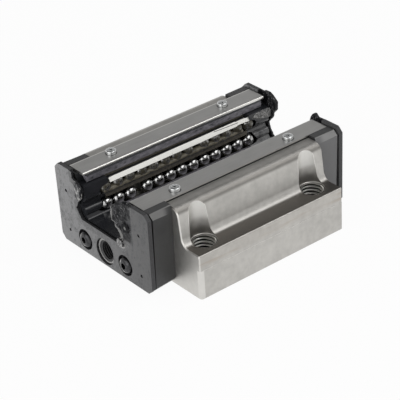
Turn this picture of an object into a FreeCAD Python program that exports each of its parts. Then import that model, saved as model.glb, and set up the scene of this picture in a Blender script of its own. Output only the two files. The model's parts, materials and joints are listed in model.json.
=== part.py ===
"""Flanged ball carriage of a profile-rail linear guide, lying on its mounting face with the rail opening up.

Millimetres. The origin is the centre of the mounting face, Z points up out of it and Y is the direction
of travel. The front end is at -Y, left is -X.
"""
import FreeCAD, Part
import math
import os

from FreeCAD import Vector

# Driving dimensions of the steel block
block_length = 59.5
block_width = 70.0
flange_thickness = 16.0
steel_height = 28.4
body_half_low = 27.0
body_half_top = 25.4
shoulder_radius = 3.2
root_fillet = 3.0
flange_edge_round = 0.6
bottom_chamfer = 0.6
end_chamfer = 0.35
datum_band_height = 10.5
datum_band_step = 0.1
datum_corner_chamfer = 1.5

# Tapped mounting holes through the flanges, at thread major diameter
bolt_spacing_x = 57.0
bolt_spacing_y = 45.0
bolt_thread_d = 8.0
bolt_rim_chamfer = 0.25

# Rail that the carriage runs on, which sets every opening
rail_half_width = 11.5
rail_top_z = 14.0
rail_waist_depth = 1.9

# Form of an opening that follows the rail's side, from its floor up to its mouth
corner_run = 2.2
corner_rise = 1.9
corner_lean = 0.3
belly = 0.5
waist_start_rise = 3.4
waist_lean = 0.4
waist_end_rise = 0.6
mouth_rise = 2.4
mouth_low_inset = 0.9
mouth_high_inset = 0.5
opening_round = 0.6
waist_round = 0.9

# Ball circuits
ball_d = 4.7625
ball_gap = 0.0875
row_offset = 0.9
lower_row_rise = 1.1
row_spacing = 6.4
saddle_wall = 1.32
lower_return_angle = -42.0
upper_return_angle = 9.3
groove_clearance = 0.10
bore_clearance = 0.12
turn_lead = 0.35
mouth_overrun = 1.0
turn_ball_count = 2

# Raceway channel of the block
floor_clearance = 0.8
rib_clearance = 0.3
ledge_step = 0.9
ledge_drop = 0.35
pocket_step = 1.1
pocket_rise = 0.45

# End plates
plate_depth = 9.0
# Half widths of a plate at its top and bottom corners, and run and rise of its top chamfer
plate_outer_half = (24.1, 23.3)
plate_outer_chamfer = (1.7, 1.5)
plate_inner_half = (22.9, 22.5)
plate_inner_chamfer = (0.5, 2.6)
plate_bottom_z = 1.0
plate_corner_chamfer = 1.8
plate_round = 0.4
neck_depth = 0.7
neck_inset = 0.9
plate_rail_clearance = 0.6
guide_cheek = 0.5
guide_clearance = 0.05
tongue_radius = 1.7
tongue_reach = 0.9
tongue_shift = {"lower": 0.5, "upper": -0.5}

# End seals and their lips
seal_thickness = 1.5
seal_rise = 0.6
seal_bottom_z = 1.45
seal_half_top = 24.3
seal_half_bottom = 24.0
seal_corner_chamfer = 1.8
seal_round = 0.4
lip_reach = 1.3
lip_band = 2.4
lip_edge_width = 0.5
lip_flare = 0.6
lip_waist_wipe = 0.8
lip_floor_wipe = 0.1
stud_radius = 0.45
stud_clearance = 0.1
stud_sink = 0.3
stud_places = ((19.0, 6.4), (19.1, 21.1))

# End screws and grease port
end_screw_x = 10.6
end_screw_z = 6.4
end_screw_d = 3.0
end_screw_head_d = 5.2
end_screw_head_height = 3.0
end_screw_rim_height = 1.7
end_screw_rise = 1.2
end_screw_grip = 7.0
end_screw_run_out = 1.5
end_screw_socket = 2.0
end_screw_socket_depth = 1.6
screw_clearance = 0.1
head_clearance = 0.3
seal_screw_clearance = 1.0
grease_z = 6.6
grease_thread_d = 7.0
grease_boss_wall = 0.8
grease_boss_sink = 0.7
grease_boss_clearance = 0.3
grease_port_depth = 7.0
grease_port_chamfer = 0.25
grease_slot_width = 1.2
grease_slot_depth = 0.8

# Side seals
strip_thickness = 0.8
strip_width = 7.5
strip_rail_gap = 0.4
strip_end_gap = 0.95
strip_seat_clearance = 0.1
strip_inner_round = 0.5
strip_screw_inset = 4.6
strip_screw_y = 23.4
strip_screw_d = 2.0
strip_screw_head_d = 3.5
strip_screw_head_height = 1.3
strip_screw_rim_height = 0.55
strip_screw_grip = 3.2
strip_screw_run_out = 0.2
rubber_floor_gap = 0.2
rubber_end_gap = 1.2
rubber_set_back = 0.1
rubber_bulge = 0.25
rubber_bulge_drop = 0.7
rubber_lip = 0.6
rubber_root = 1.0
rubber_clearance = 0.1
rubber_round = 0.2

# Ball retainers
floor_sheet = 0.6
floor_sheet_gap = 0.13
retainer_web = 0.7
retainer_web_gap = 0.27
retainer_wall = 0.55
retainer_edge_gap = 0.1
retainer_edge_angle = 46.6
retainer_rise = 0.25
retainer_round = 0.2

# Sizes that follow from the ones above
block_end = block_length / 2
relief_radius = bolt_thread_d / 2 + bolt_rim_chamfer
ball_radius = ball_d / 2
ball_pitch = ball_d + ball_gap
groove_radius = ball_radius + groove_clearance
bore_radius = ball_radius + bore_clearance
row_x = rail_half_width + row_offset
lower_row_z = rail_top_z + lower_row_rise
upper_row_z = lower_row_z + row_spacing
turn_radius = ball_radius + saddle_wall
guide_half_width = bore_radius + guide_cheek
turn_start = block_end + turn_lead
row_balls = 1 + int((2 * turn_start - ball_pitch) / ball_pitch)
rail_waist_half = rail_half_width - rail_waist_depth
floor_z = rail_top_z - floor_clearance
rib_half = rail_half_width + rib_clearance
web_low_z = upper_row_z + ball_radius + retainer_web_gap
web_high_z = web_low_z + retainer_web
ledge_z = web_low_z - ledge_drop
ledge_half = row_x + ledge_step
pocket_z = web_high_z + pocket_rise
pocket_half = ledge_half + pocket_step
plate_end = block_end + plate_depth
seal_face = plate_end + seal_thickness
lip_face = seal_face + lip_reach
strip_inner = rail_half_width + strip_rail_gap
strip_outer = strip_inner + strip_width
strip_top_z = steel_height + strip_thickness
strip_half_length = plate_end - strip_end_gap
strip_screw_x = strip_inner + strip_screw_inset
rubber_half_length = strip_half_length - rubber_end_gap
seal_top_z = strip_top_z + seal_rise
grease_boss_d = grease_thread_d + 2 * grease_boss_wall
end_screw_seat = seal_face + end_screw_rise - end_screw_head_height
above = 2 * seal_top_z

sides = {"left": -1, "right": 1}
ends = {"front": -1, "rear": 1}
# Height of the load row and direction of the return bore from it, in degrees up from straight outwards
circuits = {
    "lower": (lower_row_z, lower_return_angle),
    "upper": (upper_row_z, upper_return_angle),
}
# Balls counted from the front after which a row holds its slack
slack_after = {
    ("left", "lower"): 2,
    ("left", "upper"): 7,
    ("right", "lower"): 5,
    ("right", "upper"): 9,
}


def offset_corners(corners, amount):
    """Corners (x, z, radius) of a closed outline, counter-clockwise, moved outwards by an amount."""
    moved = []
    count = len(corners)
    for i in range(count):
        here = Vector(corners[i][0], corners[i][1], 0)
        before = Vector(corners[i - 1][0], corners[i - 1][1], 0)
        after = Vector(corners[(i + 1) % count][0], corners[(i + 1) % count][1], 0)
        into = (here - before).normalize()
        out = (after - here).normalize()
        normal_in = Vector(into.y, -into.x, 0)
        normal_out = Vector(out.y, -out.x, 0)
        mitre = (normal_in + normal_out).multiply(amount / (1 + normal_in.dot(normal_out)))
        moved.append((here.x + mitre.x, here.y + mitre.y, corners[i][2]))
    return moved


def outline(corners, y):
    """Closed wire in the plane y through (x, z, radius) corners, each rounded by a tangent arc."""
    spans = []
    count = len(corners)
    for i in range(count):
        x, z, radius = corners[i]
        here = Vector(x, y, z)
        to_before = Vector(corners[i - 1][0] - x, 0, corners[i - 1][1] - z).normalize()
        to_after = Vector(corners[(i + 1) % count][0] - x, 0, corners[(i + 1) % count][1] - z).normalize()
        if radius == 0:
            spans.append((here, None, here))
            continue
        half_angle = to_before.getAngle(to_after) / 2
        setback = radius / math.tan(half_angle)
        bisector = (to_before + to_after).normalize()
        middle = here + bisector * (radius / math.sin(half_angle) - radius)
        spans.append((here + to_before * setback, middle, here + to_after * setback))
    edges = []
    for i in range(count):
        start, middle, stop = spans[i]
        if middle is not None:
            edges.append(Part.Arc(start, middle, stop).toShape())
        edges.append(Part.LineSegment(stop, spans[(i + 1) % count][0]).toShape())
    return Part.Wire(edges)


def prism(corners, y_from, y_to):
    """Solid of an outline swept straight along Y."""
    return Part.Face(outline(corners, y_from)).extrude(Vector(0, y_to - y_from, 0))


def loft(corners_from, y_from, corners_to, y_to):
    """Ruled solid between two outlines with the same corners."""
    return Part.makeLoft([outline(corners_from, y_from), outline(corners_to, y_to)], True, True)


def both_sides(half):
    """Closed counter-clockwise outline from its right half, given from bottom to top."""
    return half + [(-x, z, radius) for x, z, radius in reversed(half)]


def rod(radius, x, z, y_from, y_to):
    """Cylinder along Y between two stations."""
    low, high = sorted((y_from, y_to))
    return Part.makeCylinder(radius, high - low, Vector(x, low, z), Vector(0, 1, 0))


def upright(radius, x, y, z_from, z_to):
    """Cylinder along Z between two heights."""
    return Part.makeCylinder(radius, z_to - z_from, Vector(x, y, z_from))


def chamfer_cone(radius, depth, x, y, z, direction):
    """Rim chamfer of an upright hole whose mouth is at height z and opens in the given direction."""
    mouth = Vector(x, y, z)
    return Part.makeCone(radius + depth, radius, depth, mouth, Vector(0, 0, -direction))


def domed_head(radius, rim_height, height, seat, direction):
    """Round-topped screw head that stands on its seat along the given direction."""
    rise = height - rim_height
    dome_radius = (radius ** 2 + rise ** 2) / (2 * rise)
    half_angle = math.asin(radius / dome_radius) / 2
    dome_reach = dome_radius * math.sin(half_angle)
    dome_drop = dome_radius * (1 - math.cos(half_angle))
    outwards = Vector(1, 0, 0)
    seat_edge = seat + outwards * radius
    rim_edge = seat_edge + direction * rim_height
    dome_top = seat + direction * height
    dome_middle = dome_top + outwards * dome_reach - direction * dome_drop
    profile = Part.Wire([
        Part.LineSegment(seat, seat_edge).toShape(),
        Part.LineSegment(seat_edge, rim_edge).toShape(),
        Part.Arc(rim_edge, dome_middle, dome_top).toShape(),
        Part.LineSegment(dome_top, seat).toShape(),
    ])
    return Part.Face(profile).revolve(seat, direction, 360)


def rail_opening(clearance, waist_half, floor_clear):
    """Outline of the space that the rail passes through, as seen along Y, open at the top."""
    wide = rail_half_width + clearance
    floor = rail_top_z - floor_clear
    middle = (lower_row_z + upper_row_z) / 2
    return both_sides([
        (wide - corner_run, floor, opening_round),
        (wide - corner_lean, floor + corner_rise, opening_round),
        (wide + belly, middle, opening_round),
        (waist_half + waist_lean, middle + waist_start_rise, waist_round),
        (waist_half, pocket_z + waist_end_rise, waist_round),
        (pocket_half - mouth_low_inset, pocket_z + mouth_rise, opening_round),
        (pocket_half - mouth_high_inset, above, 0),
    ])


def row_places(side, circuit):
    """Centres of a load row and of its return bore in the plane y = 0."""
    height, angle = circuits[circuit]
    load = Vector(sides[side] * row_x, 0, height)
    reach = 2 * turn_radius
    rise = math.radians(angle)
    return load, load + Vector(sides[side] * reach * math.cos(rise), 0, reach * math.sin(rise))


def turn_frame(side, circuit, end):
    """Centre, outward direction and axis of one U-turn."""
    load, back = row_places(side, circuit)
    across = (back - load).normalize()
    centre = (load + back) * 0.5 + Vector(0, ends[end] * turn_start, 0)
    axis = across.cross(Vector(0, 1, 0))
    return centre, across, axis


def turn_channel(side, circuit, end):
    """Ball channel of one U-turn, with its two straight mouths run on past the block's end."""
    centre, across, axis = turn_frame(side, circuit, end)
    mouth = Vector(0, -ends[end] * (turn_start - block_end + mouth_overrun), 0)
    discs = [
        Part.Face(Part.Wire(Part.makeCircle(bore_radius, centre + across * reach, Vector(0, 1, 0))))
        for reach in (-turn_radius, turn_radius)
    ]
    bend = discs[0].revolve(centre, axis * -ends[end], 180)
    return bend.fuse([disc.extrude(mouth) for disc in discs])


def saddle_blank(side, circuit, end, clearance):
    """Half-round block that fills the inside of a U-turn, up to the ball centres."""
    centre, across, axis = turn_frame(side, circuit, end)
    radius = turn_radius - guide_clearance + clearance
    width = 2 * (guide_half_width + clearance)
    start = centre - axis * (width / 2)
    barrel = Part.makeCylinder(radius, width, start, axis)
    straight = turn_start - block_end
    corner = start - across * radius - Vector(0, ends[end] * straight, 0)
    foot_wire = Part.makePolygon([
        corner,
        corner + across * (2 * radius),
        corner + across * (2 * radius) + axis * width,
        corner + axis * width,
        corner,
    ])
    foot = Part.Face(foot_wire).extrude(Vector(0, ends[end] * straight, 0))
    reach = 2 * radius
    keep_from = min(ends[end] * turn_start, ends[end] * (turn_start + reach))
    keep_corner = Vector(centre.x - 2 * reach, keep_from, centre.z - 2 * reach)
    keep = Part.makeBox(4 * reach, reach, 4 * reach, keep_corner)
    return barrel.common(keep).fuse(foot)


def return_guide(side, circuit, end):
    """Saddle inside one U-turn, seated flat on the block's end."""
    blank = saddle_blank(side, circuit, end, 0)
    return blank.cut(turn_channel(side, circuit, end))


def carriage_block():
    """Steel body with flanges, raceways, return bores and tapped holes."""
    half_width = block_width / 2
    blank = prism(both_sides([
        (half_width - bottom_chamfer, 0, 0),
        (half_width, bottom_chamfer, 0),
        (half_width, datum_band_height, 0),
        (half_width - datum_band_step, datum_band_height + datum_band_step, 0),
        (half_width - datum_band_step, flange_thickness, flange_edge_round),
        (body_half_low, flange_thickness, root_fillet),
        (body_half_top, steel_height, shoulder_radius),
    ]), -block_end, block_end)
    rims = [edge for edge in blank.Edges if edge.BoundBox.YLength < end_chamfer]
    body = blank.makeChamfer(end_chamfer, rims)
    channel = prism(both_sides([
        (rib_half, floor_z, 0),
        (rib_half, ledge_z, 0),
        (ledge_half, ledge_z, 0),
        (ledge_half, pocket_z, 0),
        (pocket_half, pocket_z, 0),
        (pocket_half, above, 0),
    ]), -block_end, block_end)
    cuts = [channel]
    for side_name, side in sides.items():
        cuts.append(datum_corner(side, ends["front"]))
        for circuit in circuits:
            load, back = row_places(side_name, circuit)
            cuts.append(rod(groove_radius, load.x, load.z, -block_end, block_end))
            cuts.append(rod(bore_radius, back.x, back.z, -block_end, block_end))
        for end in ends.values():
            cuts.extend(mounting_hole(side * bolt_spacing_x / 2, end * bolt_spacing_y / 2))
            cuts.append(rod(end_screw_d / 2, side * end_screw_x, end_screw_z,
                            end * block_end, end * (block_end - end_screw_grip - end_screw_run_out)))
            cuts.append(upright(strip_screw_d / 2, side * strip_screw_x, end * strip_screw_y,
                                steel_height - strip_screw_grip - strip_screw_run_out, steel_height))
    return body.cut(cuts)


def mounting_hole(x, y):
    """Tapped flange hole with chamfered rims, and the relief beside it in the body."""
    radius = bolt_thread_d / 2
    return [
        upright(radius, x, y, 0, flange_thickness),
        chamfer_cone(radius, bolt_rim_chamfer, x, y, 0, -1),
        chamfer_cone(radius, bolt_rim_chamfer, x, y, flange_thickness, 1),
        upright(relief_radius, x, y, flange_thickness, steel_height),
    ]


def datum_corner(side, end):
    """Wedge that chamfers an upright corner of the ground datum band; the front corners have one."""
    corner = Vector(side * block_width / 2, end * block_end, 0)
    triangle = Part.makePolygon([
        corner,
        corner - Vector(side * datum_corner_chamfer, 0, 0),
        corner - Vector(0, end * datum_corner_chamfer, 0),
        corner,
    ])
    return Part.Face(triangle).extrude(Vector(0, 0, datum_band_height))


def plate_corners(half, chamfer):
    """Outline of an end plate, level with the strips, with given half widths and top chamfer."""
    half_top, half_bottom = half
    run, rise = chamfer
    return both_sides([
        (half_bottom - plate_corner_chamfer, plate_bottom_z, plate_round),
        (half_bottom, plate_bottom_z + plate_corner_chamfer, plate_round),
        (half_top, strip_top_z - rise, plate_round),
        (half_top - run, strip_top_z, plate_round),
    ])


def plate_channel():
    """Space for the rail and for the side-seal rubber through an end plate, less the tongues in its sides."""
    rail = rail_opening(plate_rail_clearance, rail_waist_half + plate_rail_clearance, plate_rail_clearance)
    rubber_pocket = both_sides([(pocket_half, pocket_z, 0), (pocket_half, above, 0)])
    channel = prism(rail, -plate_end, plate_end)
    tongue_x = rail_half_width - tongue_reach + tongue_radius
    tongues = []
    for side in sides.values():
        for circuit, (row_z, _) in circuits.items():
            tongue_z = row_z + tongue_shift[circuit]
            tongues.append(rod(tongue_radius, side * tongue_x, tongue_z, -plate_end, plate_end))
    return channel.cut(tongues).fuse(prism(rubber_pocket, -plate_end, plate_end))


def grease_slots(end):
    """Grooves in the plate's inner face that lead grease from the port to the four turns."""
    slots = []
    start = Vector(0, 0, grease_z)
    for side in sides:
        lower, upper = (turn_frame(side, circuit, end)[0] for circuit in circuits)
        stops = [start, Vector(lower.x, 0, lower.z), Vector(upper.x, 0, upper.z)]
        for here, there in zip(stops, stops[1:]):
            along = there - here
            across = Vector(-along.z, 0, along.x).normalize() * (grease_slot_width / 2)
            base = Vector(0, ends[end] * block_end, 0)
            wire = Part.makePolygon([
                base + here - across,
                base + there - across,
                base + there + across,
                base + here + across,
                base + here - across,
            ])
            slots.append(Part.Face(wire).extrude(Vector(0, ends[end] * grease_slot_depth, 0)))
    return slots


def end_plate(end):
    """Moulded cap with ball turns, grease port, screw seats and studs for the seal."""
    sign = ends[end]
    neck_start = plate_end - neck_depth
    outer = plate_corners(plate_outer_half, plate_outer_chamfer)
    inner = plate_corners(plate_inner_half, plate_inner_chamfer)
    plate = loft(inner, sign * block_end, outer, sign * neck_start)
    neck = prism(offset_corners(outer, -neck_inset), sign * neck_start, sign * plate_end)
    boss_end = seal_face - grease_boss_sink
    added = [neck, rod(grease_boss_d / 2, 0, grease_z, sign * neck_start, sign * boss_end)]
    for side in sides.values():
        for x, z in stud_places:
            added.append(rod(stud_radius, side * x, z, sign * neck_start, sign * (seal_face - stud_sink)))
    plate = plate.fuse(added)
    port_radius = grease_thread_d / 2
    port_bottom = boss_end - grease_port_depth
    rim = Part.makeCone(port_radius + grease_port_chamfer, port_radius, grease_port_chamfer,
                        Vector(0, sign * boss_end, grease_z), Vector(0, -sign, 0))
    seat_half = strip_outer + strip_seat_clearance
    strip_seats = both_sides([(seat_half, steel_height, 0), (seat_half, above, 0)])
    cuts = [
        plate_channel(),
        prism(strip_seats, sign * block_end, sign * plate_end),
        rod(port_radius, 0, grease_z, sign * port_bottom, sign * boss_end),
        rod(grease_slot_width / 2, 0, grease_z, sign * block_end, sign * port_bottom),
        rim,
    ]
    cuts.extend(grease_slots(end))
    for side_name, side in sides.items():
        cuts.append(rod(end_screw_d / 2 + screw_clearance, side * end_screw_x, end_screw_z,
                        sign * block_end, sign * plate_end))
        cuts.append(rod(end_screw_head_d / 2 + head_clearance, side * end_screw_x, end_screw_z,
                        sign * end_screw_seat, sign * plate_end))
        for circuit in circuits:
            cuts.append(turn_channel(side_name, circuit, end))
            cuts.append(saddle_blank(side_name, circuit, end, guide_clearance))
    return plate.cut(cuts)


def lip_edge():
    """Outline of the free edge of a seal lip, which wipes the rail."""
    return rail_opening(0, rail_waist_half - lip_waist_wipe, lip_floor_wipe)


def lip_envelope(end):
    """Outer form of a seal lip, which also cuts its seat in the seal plate."""
    sign = ends[end]
    root = offset_corners(lip_edge(), lip_band)
    tip = offset_corners(lip_edge(), lip_edge_width)
    seat = prism(root, sign * plate_end, sign * seal_face)
    flare = loft(root, sign * seal_face, tip, sign * lip_face)
    return seat.fuse(flare)


def below_seal_top(end):
    """Box that limits a seal to its top edge."""
    low = min(ends[end] * plate_end, ends[end] * lip_face)
    depth = lip_face - plate_end
    return Part.makeBox(block_width, depth, seal_top_z, Vector(-block_width / 2, low, 0))


def seal_lip(end):
    """Rubber edge bonded round the rail opening of a seal plate."""
    sign = ends[end]
    passage = loft(offset_corners(lip_edge(), lip_flare), sign * plate_end, lip_edge(), sign * lip_face)
    return lip_envelope(end).cut(passage).common(below_seal_top(end))


def end_seal(end):
    """Stiff seal plate with holes for the screws, the grease boss and the locating studs."""
    sign = ends[end]
    plate = prism(both_sides([
        (seal_half_bottom - seal_corner_chamfer, seal_bottom_z, seal_round),
        (seal_half_bottom, seal_bottom_z + seal_corner_chamfer, seal_round),
        (seal_half_top, seal_top_z - seal_corner_chamfer, seal_round),
        (seal_half_top - seal_corner_chamfer, seal_top_z, seal_round),
    ]), sign * plate_end, sign * seal_face)
    cuts = [
        lip_envelope(end),
        rod(grease_boss_d / 2 + grease_boss_clearance, 0, grease_z, sign * plate_end, sign * seal_face),
    ]
    for side in sides.values():
        cuts.append(rod(end_screw_head_d / 2 + seal_screw_clearance, side * end_screw_x, end_screw_z,
                        sign * plate_end, sign * seal_face))
        for x, z in stud_places:
            cuts.append(rod(stud_radius + stud_clearance, side * x, z, sign * plate_end, sign * seal_face))
    return plate.cut(cuts)


def end_screws(end):
    """Two socket screws with domed heads that hold an end plate to the block."""
    sign = ends[end]
    head_face = end_screw_seat + end_screw_head_height
    across_corners = end_screw_socket / math.cos(math.pi / 6)
    screws = []
    for side in sides.values():
        x = side * end_screw_x
        head = domed_head(end_screw_head_d / 2, end_screw_rim_height, end_screw_head_height,
                          Vector(x, sign * end_screw_seat, end_screw_z), Vector(0, sign, 0))
        shank = rod(end_screw_d / 2 - screw_clearance / 2, x, end_screw_z,
                    sign * end_screw_seat, sign * (block_end - end_screw_grip))
        hexagon = [
            Vector(x + across_corners / 2 * math.cos(turn * math.pi / 3), sign * head_face,
                   end_screw_z + across_corners / 2 * math.sin(turn * math.pi / 3))
            for turn in range(7)
        ]
        socket = Part.Face(Part.makePolygon(hexagon)).extrude(Vector(0, -sign * end_screw_socket_depth, 0))
        screws.append(head.fuse(shank).cut(socket))
    return Part.makeCompound(screws)


def seal_strip(side):
    """Steel strip that carries a side seal."""
    sign = sides[side]
    section = [
        (strip_inner, steel_height, 0),
        (strip_outer, steel_height, 0),
        (strip_outer, strip_top_z, 0),
        (strip_inner, strip_top_z, strip_inner_round),
    ]
    strip = prism([(sign * x, z, radius) for x, z, radius in section], -strip_half_length, strip_half_length)
    for end in ends.values():
        strip = strip.cut(upright(strip_screw_d / 2 + screw_clearance, sign * strip_screw_x,
                                  end * strip_screw_y, steel_height, strip_top_z))
    return strip


def seal_rubber(side):
    """Rubber wall bonded under a strip's inner edge."""
    sign = sides[side]
    lip_x = strip_inner + rubber_set_back
    bottom = pocket_z + rubber_floor_gap
    back = pocket_half - rubber_clearance
    section = [
        (lip_x, steel_height, 0),
        (lip_x - rubber_bulge, steel_height - rubber_bulge_drop, rubber_round),
        (lip_x, bottom, rubber_round),
        (lip_x + rubber_lip, bottom, rubber_round),
        (back, steel_height - rubber_root, rubber_round),
        (back, steel_height, 0),
    ]
    return prism([(sign * x, z, radius) for x, z, radius in section], -rubber_half_length, rubber_half_length)


def strip_screws(side):
    """Two round-headed screws through a strip."""
    sign = sides[side]
    screws = []
    for end in ends.values():
        x = sign * strip_screw_x
        y = end * strip_screw_y
        head = domed_head(strip_screw_head_d / 2, strip_screw_rim_height, strip_screw_head_height,
                          Vector(x, y, strip_top_z), Vector(0, 0, 1))
        shank = upright(strip_screw_d / 2 - screw_clearance / 2, x, y,
                        steel_height - strip_screw_grip, strip_top_z)
        screws.append(head.fuse(shank))
    return Part.makeCompound(screws)


def ball_retainer(side):
    """Moulded strip on the block's ledge that keeps an upper ball row from falling out."""
    sign = sides[side]
    edge_reach = ball_radius + retainer_edge_gap
    edge_angle = math.radians(retainer_edge_angle)
    outer = row_x - edge_reach * math.sin(edge_angle)
    inner = outer - retainer_wall
    bottom = upper_row_z + edge_reach * math.cos(edge_angle)
    top = web_high_z + retainer_rise
    section = [
        (inner, bottom, retainer_round),
        (outer, bottom, retainer_round),
        (outer, web_low_z, 0),
        (ledge_half, web_low_z, 0),
        (ledge_half, web_high_z, 0),
        (outer, web_high_z, 0),
        (outer, top, retainer_round),
        (inner, top, retainer_round),
    ]
    return prism([(sign * x, z, radius) for x, z, radius in section], -block_end, block_end)


def floor_retainer():
    """Sheet on the channel floor whose edges keep the lower ball rows from falling out."""
    rise = lower_row_z - floor_z - floor_sheet
    half_width = row_x - math.sqrt((ball_radius + floor_sheet_gap) ** 2 - rise ** 2)
    return Part.makeBox(2 * half_width, block_length, floor_sheet, Vector(-half_width, -block_end, floor_z))


def ball(place):
    """One bearing ball."""
    return Part.makeSphere(ball_radius, place)


def load_row(side, circuit):
    """Balls between block and rail, touching in two groups with the circuit's slack between them."""
    load, _ = row_places(side, circuit)
    front_group = slack_after[side, circuit]
    balls = []
    for i in range(row_balls):
        if i < front_group:
            y = -turn_start + (i + 1) * ball_pitch
        else:
            y = turn_start - (row_balls - 1 - i) * ball_pitch
        balls.append(ball(load + Vector(0, y, 0)))
    return Part.makeCompound(balls)


def return_row(side, circuit):
    """Balls on their way back through the return bore."""
    _, back = row_places(side, circuit)
    spacing = (2 * turn_start - ball_pitch) / (row_balls - 1)
    balls = [ball(back + Vector(0, -turn_start + i * spacing, 0)) for i in range(row_balls)]
    return Part.makeCompound(balls)


def turn_balls(side, circuit, end):
    """Balls in a U-turn, one pitch apart, from the load row round to the return bore."""
    centre, across, _ = turn_frame(side, circuit, end)
    step = 2 * math.asin(ball_pitch / (2 * turn_radius))
    first = 0 if end == "front" else 1
    outward = Vector(0, ends[end], 0)
    balls = []
    for i in range(first, first + turn_ball_count):
        swing = across * -math.cos(i * step) + outward * math.sin(i * step)
        balls.append(ball(centre + swing * turn_radius))
    return Part.makeCompound(balls)


def build():
    """Every node of the carriage by name."""
    nodes = {"carriage_block": carriage_block(), "floor_retainer": floor_retainer()}
    for end in ends:
        nodes[end + "_end_plate"] = end_plate(end)
        nodes[end + "_end_seal"] = end_seal(end)
        nodes[end + "_seal_lip"] = seal_lip(end)
        nodes[end + "_end_screws"] = end_screws(end)
    for side in sides:
        nodes[side + "_seal_strip"] = seal_strip(side)
        nodes[side + "_seal_rubber"] = seal_rubber(side)
        nodes[side + "_strip_screws"] = strip_screws(side)
        nodes[side + "_ball_retainer"] = ball_retainer(side)
        for circuit in circuits:
            name = side + "_" + circuit
            nodes[name + "_load_balls"] = load_row(side, circuit)
            nodes[name + "_return_balls"] = return_row(side, circuit)
            for end in ends:
                nodes[name + "_" + end + "_turn_balls"] = turn_balls(side, circuit, end)
                nodes[name + "_" + end + "_return_guide"] = return_guide(side, circuit, end)
    return nodes


os.makedirs("parts", exist_ok=True)
for node_name, shape in build().items():
    if not shape.isValid():
        raise ValueError(node_name + " is not a valid shape")
    shape.exportStep("parts/" + node_name + ".step")
    print(node_name, len(shape.Solids), round(shape.Volume, 1))
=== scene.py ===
import json
import math
from contextlib import contextmanager

import bmesh
import bpy
from bpy.props import FloatProperty, FloatVectorProperty, IntProperty, PointerProperty
from bpy.types import Operator, Panel, PropertyGroup
from mathutils import Matrix, Vector, noise


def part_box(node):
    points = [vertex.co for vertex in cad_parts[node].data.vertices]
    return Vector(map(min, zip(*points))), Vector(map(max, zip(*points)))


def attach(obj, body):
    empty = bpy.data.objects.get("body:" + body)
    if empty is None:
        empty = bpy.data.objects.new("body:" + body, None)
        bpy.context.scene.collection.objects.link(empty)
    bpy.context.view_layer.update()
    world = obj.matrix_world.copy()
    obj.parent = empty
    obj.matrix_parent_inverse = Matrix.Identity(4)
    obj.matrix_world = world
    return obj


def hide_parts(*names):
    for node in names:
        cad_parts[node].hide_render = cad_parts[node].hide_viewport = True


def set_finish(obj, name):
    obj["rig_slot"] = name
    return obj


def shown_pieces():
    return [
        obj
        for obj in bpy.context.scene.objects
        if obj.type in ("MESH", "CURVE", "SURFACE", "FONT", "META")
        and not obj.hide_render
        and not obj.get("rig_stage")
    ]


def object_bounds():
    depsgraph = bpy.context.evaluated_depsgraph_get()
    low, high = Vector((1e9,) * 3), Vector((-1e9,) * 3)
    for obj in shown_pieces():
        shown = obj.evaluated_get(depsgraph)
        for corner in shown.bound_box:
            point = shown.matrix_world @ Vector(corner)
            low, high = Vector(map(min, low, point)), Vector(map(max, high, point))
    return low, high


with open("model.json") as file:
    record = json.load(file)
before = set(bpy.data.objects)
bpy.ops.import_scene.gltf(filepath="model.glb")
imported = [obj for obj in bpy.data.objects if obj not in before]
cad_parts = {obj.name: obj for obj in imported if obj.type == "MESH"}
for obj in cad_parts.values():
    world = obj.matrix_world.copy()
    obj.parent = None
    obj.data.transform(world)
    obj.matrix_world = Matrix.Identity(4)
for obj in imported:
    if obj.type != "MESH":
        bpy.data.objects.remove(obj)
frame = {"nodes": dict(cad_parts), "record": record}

bl_info = {
    "name": "Rail carriage looks",
    "version": (1, 1, 0),
    "blender": (4, 5, 0),
    "location": "View3D > Sidebar > Carriage",
    "description": "Threads, screws, worn seals, finishes and a studio for a flanged ball carriage",
    "category": "Object",
}

CAD_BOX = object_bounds()
BODY = "carriage"
MM = 0.001
ENDS = {"front": -1, "rear": 1}
SIDES = {"left": -1, "right": 1}
MOUNTS = {mount["name"]: mount for mount in frame["record"]["mounts"]}
SLOT_OF = {part["node"]: part["material_slot"] for part in frame["record"]["subparts"]}

FRAY_SEED = 7
MERGE_DISTANCE = 1e-6
CUT_TOLERANCE = 1e-7
# Least part of a face's normal along an axis, for the face to look along it.
FACING = 0.9
HEAD_SIDES = 64
DOME_SEGMENTS = 8
BAND_SEGMENTS = 3
BAND_CUTS = 80
RUBBER_SMOOTHING = 50
# Turn of the strip screws' recesses, in degrees.
RECESS_TURNS = {"front": -15, "rear": 65}
# Drift of the ball retainers, sideways and upwards: row of the noise, length of its waves in millimetres.
RETAINER_WAVES = ((0, 9), (5, 13))

# Grease ports' height, and the rail channel's half width and floor, in millimetres.
PORT_HEIGHT = MOUNTS["front_grease_port"]["pos_m"][2] / MM
CHANNEL_SIDE = 14.3
CHANNEL_FLOOR = 13

# Softboxes: direction from the carriage, direction of the long side, length and width in metres.
SOFTBOXES = {
    "front": ((0.124, -0.922, 0.369), (1, 0, 0), 0.9, 0.9),
    "side": ((0.42, 0.33, 0.85), (-0.65, 0.757, 0), 0.9, 0.45),
}
FLOOR_SIZE = 6

# Outlines (x, z) in millimetres, top to bottom. A lip is bonded to the opening in its seal plate: right half.
LIP_SEAT = ((16.4, 29.75), (16.3, 25.7), (11.9, 24.2), (12.0, 22.8), (15.2, 18.8), (13.7, 14.2),
            (10.5, 11.3))
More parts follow.
